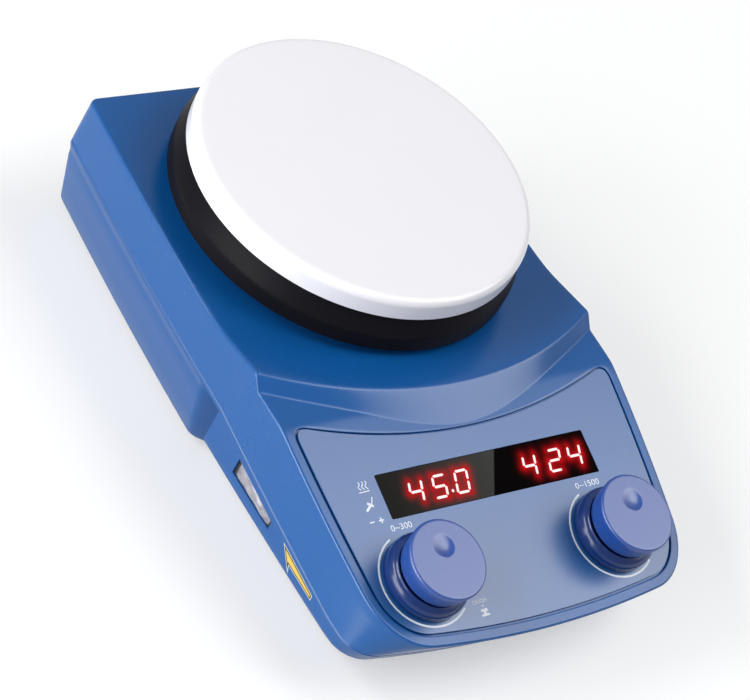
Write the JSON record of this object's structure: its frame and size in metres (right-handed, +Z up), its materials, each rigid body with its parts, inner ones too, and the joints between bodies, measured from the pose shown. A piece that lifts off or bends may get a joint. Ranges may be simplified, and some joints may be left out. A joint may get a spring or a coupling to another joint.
{
  "type": "hotplate stirrer",
  "caption": "Bench hotplate with magnetic stirring: round heated plate on a low housing, sloping front panel with a number display and two push-and-turn knobs.",
  "frame": {"origin": "on the bench, under the middle of the housing", "axes": "+X to the right and +Y to the back as a user in front sees it, +Z up"},
  "size_m": [0.1592, 0.25, 0.0856],
  "materials": {
    "upper_enamel": "glossy blue enamel",
    "lower_shell": "satin blue",
    "plate_ceramic": "smooth white glaze",
    "ring_black": "matt charcoal",
    "overlay_film": "printed film",
    "window_tint": "dark tinted, polished",
    "knob_blue": "satin blue",
    "black_plastic": "black",
    "boot_silicone": "clear silicone",
    "steel": "bright",
    "aluminium": "milled",
    "brass": "plain",
    "foot_rubber": "black rubber",
    "board": "green circuit board",
    "insulation": "pressed mineral fibre",
    "heater": "cast heating body",
    "magnet": "nickel-plated",
    "core": "laminated core",
    "glass": "glass tube"
  },
  "bodies": {
    "housing": {"upper_housing": "upper_enamel", "base_tub": "lower_shell", "top_plate": "plate_ceramic", "plate_skirt": "ring_black", "panel_overlay": "overlay_film", "display_window": "window_tint", "left_led_module": "black_plastic", "right_led_module": "black_plastic", "display_board": "board", "switch_boot": "boot_silicone", "power_switch_body": "black_plastic", "heat_shield": "steel", "insulation_disc": "insulation", "heating_element": "heater", "temperature_sensor": "steel", "stirrer_motor": "steel", "motor_bracket": "steel", "rear_panel": "black_plastic", "mains_inlet": "black_plastic", "inlet_pin_live": "steel", "inlet_pin_neutral": "steel", "inlet_pin_earth": "steel", "probe_socket": "steel", "rod_bush": "steel", "main_board": "board", "transformer": "core", "relay": "black_plastic", "smoothing_capacitor": "black_plastic", "heat_sink": "aluminium", "left_knob_collar": "knob_blue", "left_encoder": "steel", "right_knob_collar": "knob_blue", "right_encoder": "steel", "plate_post_1": "steel", "plate_post_2": "steel", "plate_post_3": "steel", "plate_post_4": "steel", "foot_front_left": "foot_rubber", "foot_front_right": "foot_rubber", "foot_rear_left": "foot_rubber", "foot_rear_right": "foot_rubber"},
    "magnet_rotor": {"motor_shaft": "steel", "magnet_carrier": "aluminium", "drive_magnet_1": "magnet", "drive_magnet_2": "magnet"},
    "left_dial": {"left_encoder_rotor": "brass"},
    "left_button": {"left_knob": "knob_blue", "left_encoder_shaft": "steel"},
    "right_dial": {"right_encoder_rotor": "brass"},
    "right_button": {"right_knob": "knob_blue", "right_encoder_shaft": "steel"},
    "rocker": {"power_rocker": "black_plastic"},
    "fuse_tray": {"fuse_drawer": "black_plastic", "fuse": "glass"}
  },
  "joints": [
    {"name": "magnet_spin", "type": "hinge", "parent": "housing", "child": "magnet_rotor", "pos_m": [0, 0.0525, 0.058], "axis": [0, 0, 1], "continuous": true},
    {"name": "left_knob_turn", "type": "hinge", "parent": "housing", "child": "left_dial", "pos_m": [-0.0463, -0.09748, 0.04282], "axis": [0, -0.2334, 0.9724], "continuous": true},
    {"name": "left_knob_push", "type": "slide", "parent": "left_dial", "child": "left_button", "axis": [0, 0.2334, -0.9724], "range_m": [0, 0.001], "stiffness_N_per_m": 1500, "springref_m": -0.002},
    {"name": "right_knob_turn", "type": "hinge", "parent": "housing", "child": "right_dial", "pos_m": [0.0419, -0.09748, 0.04282], "axis": [0, -0.2334, 0.9724], "continuous": true},
    {"name": "right_knob_push", "type": "slide", "parent": "right_dial", "child": "right_button", "axis": [0, 0.2334, -0.9724], "range_m": [0, 0.001], "stiffness_N_per_m": 1500, "springref_m": -0.002},
    {"name": "power_rocker_tilt", "type": "hinge", "parent": "housing", "child": "rocker", "pos_m": [-0.07107, -0.0404, 0.0275], "axis": [0, 0, 1], "range_deg": [0, 16]},
    {"name": "fuse_drawer_pull", "type": "slide", "parent": "housing", "child": "fuse_tray", "axis": [0, 1, 0], "range_m": [0, 0.012]}
  ]
}
